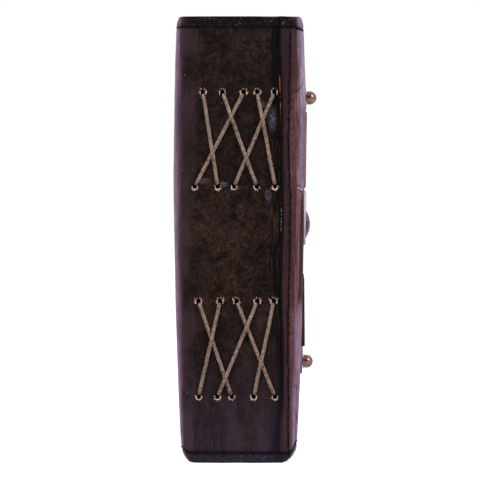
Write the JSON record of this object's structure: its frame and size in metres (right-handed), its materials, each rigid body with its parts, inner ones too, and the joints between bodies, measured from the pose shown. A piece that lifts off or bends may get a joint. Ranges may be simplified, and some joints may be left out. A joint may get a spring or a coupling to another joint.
{
  "type": "leather journal",
  "caption": "Thick hand-bound leather journal with a laced flat spine, lapped front leather, hinged covers, a round stone in a leather ring, and straps buttoned on domed studs.",
  "frame": {"origin": "bottom centre of the closed journal as it stands on its tail edge", "axes": "+Z from tail to head, +X out of the front cover, -Y out of the spine"},
  "size_m": [0.0872, 0.188, 0.254],
  "materials": {
    "paper": "rough handmade sheets with soft edges",
    "spine_leather": "dark brown, waxed and worn",
    "front_leather": "reddish brown, waxed and worn",
    "lining": "suede side out, matt",
    "overlay_leather": "dark red brown, burnished",
    "strap_leather": "brown with paler cut edges",
    "waxed_cord": "twisted and waxed, taupe",
    "antique_metal": "darkened copper colour, polished on the dome",
    "stone": "polished purple cabochon"
  },
  "bodies": {
    "spine": {"text_block": "paper", "spine_leather": "spine_leather", "spine_lining": "lining", "front_hinge_strip": "front_leather", "upper_lacing": "waxed_cord", "lower_lacing": "waxed_cord"},
    "front_cover": {"front_leather": "front_leather", "front_lining": "lining", "upper_overlay": "overlay_leather", "lower_overlay": "overlay_leather", "stone_setting": "overlay_leather", "stone": "stone", "upper_stud": "antique_metal", "lower_stud": "antique_metal"},
    "back_cover": {"back_leather": "spine_leather", "back_lining": "lining", "upper_strap": "strap_leather", "lower_strap": "strap_leather"}
  },
  "joints": [
    {"name": "front_cover_hinge", "type": "hinge", "parent": "spine", "child": "front_cover", "pos_m": [0.03296, -0.07845, 0], "axis": [0, 0, -1], "range_deg": [0, 170], "deforming": ["upper_strap", "lower_strap"]},
    {"name": "back_cover_hinge", "type": "hinge", "parent": "spine", "child": "back_cover", "pos_m": [-0.04144, -0.07845, 0], "axis": [0, 0, 1], "range_deg": [0, 170]}
  ]
}
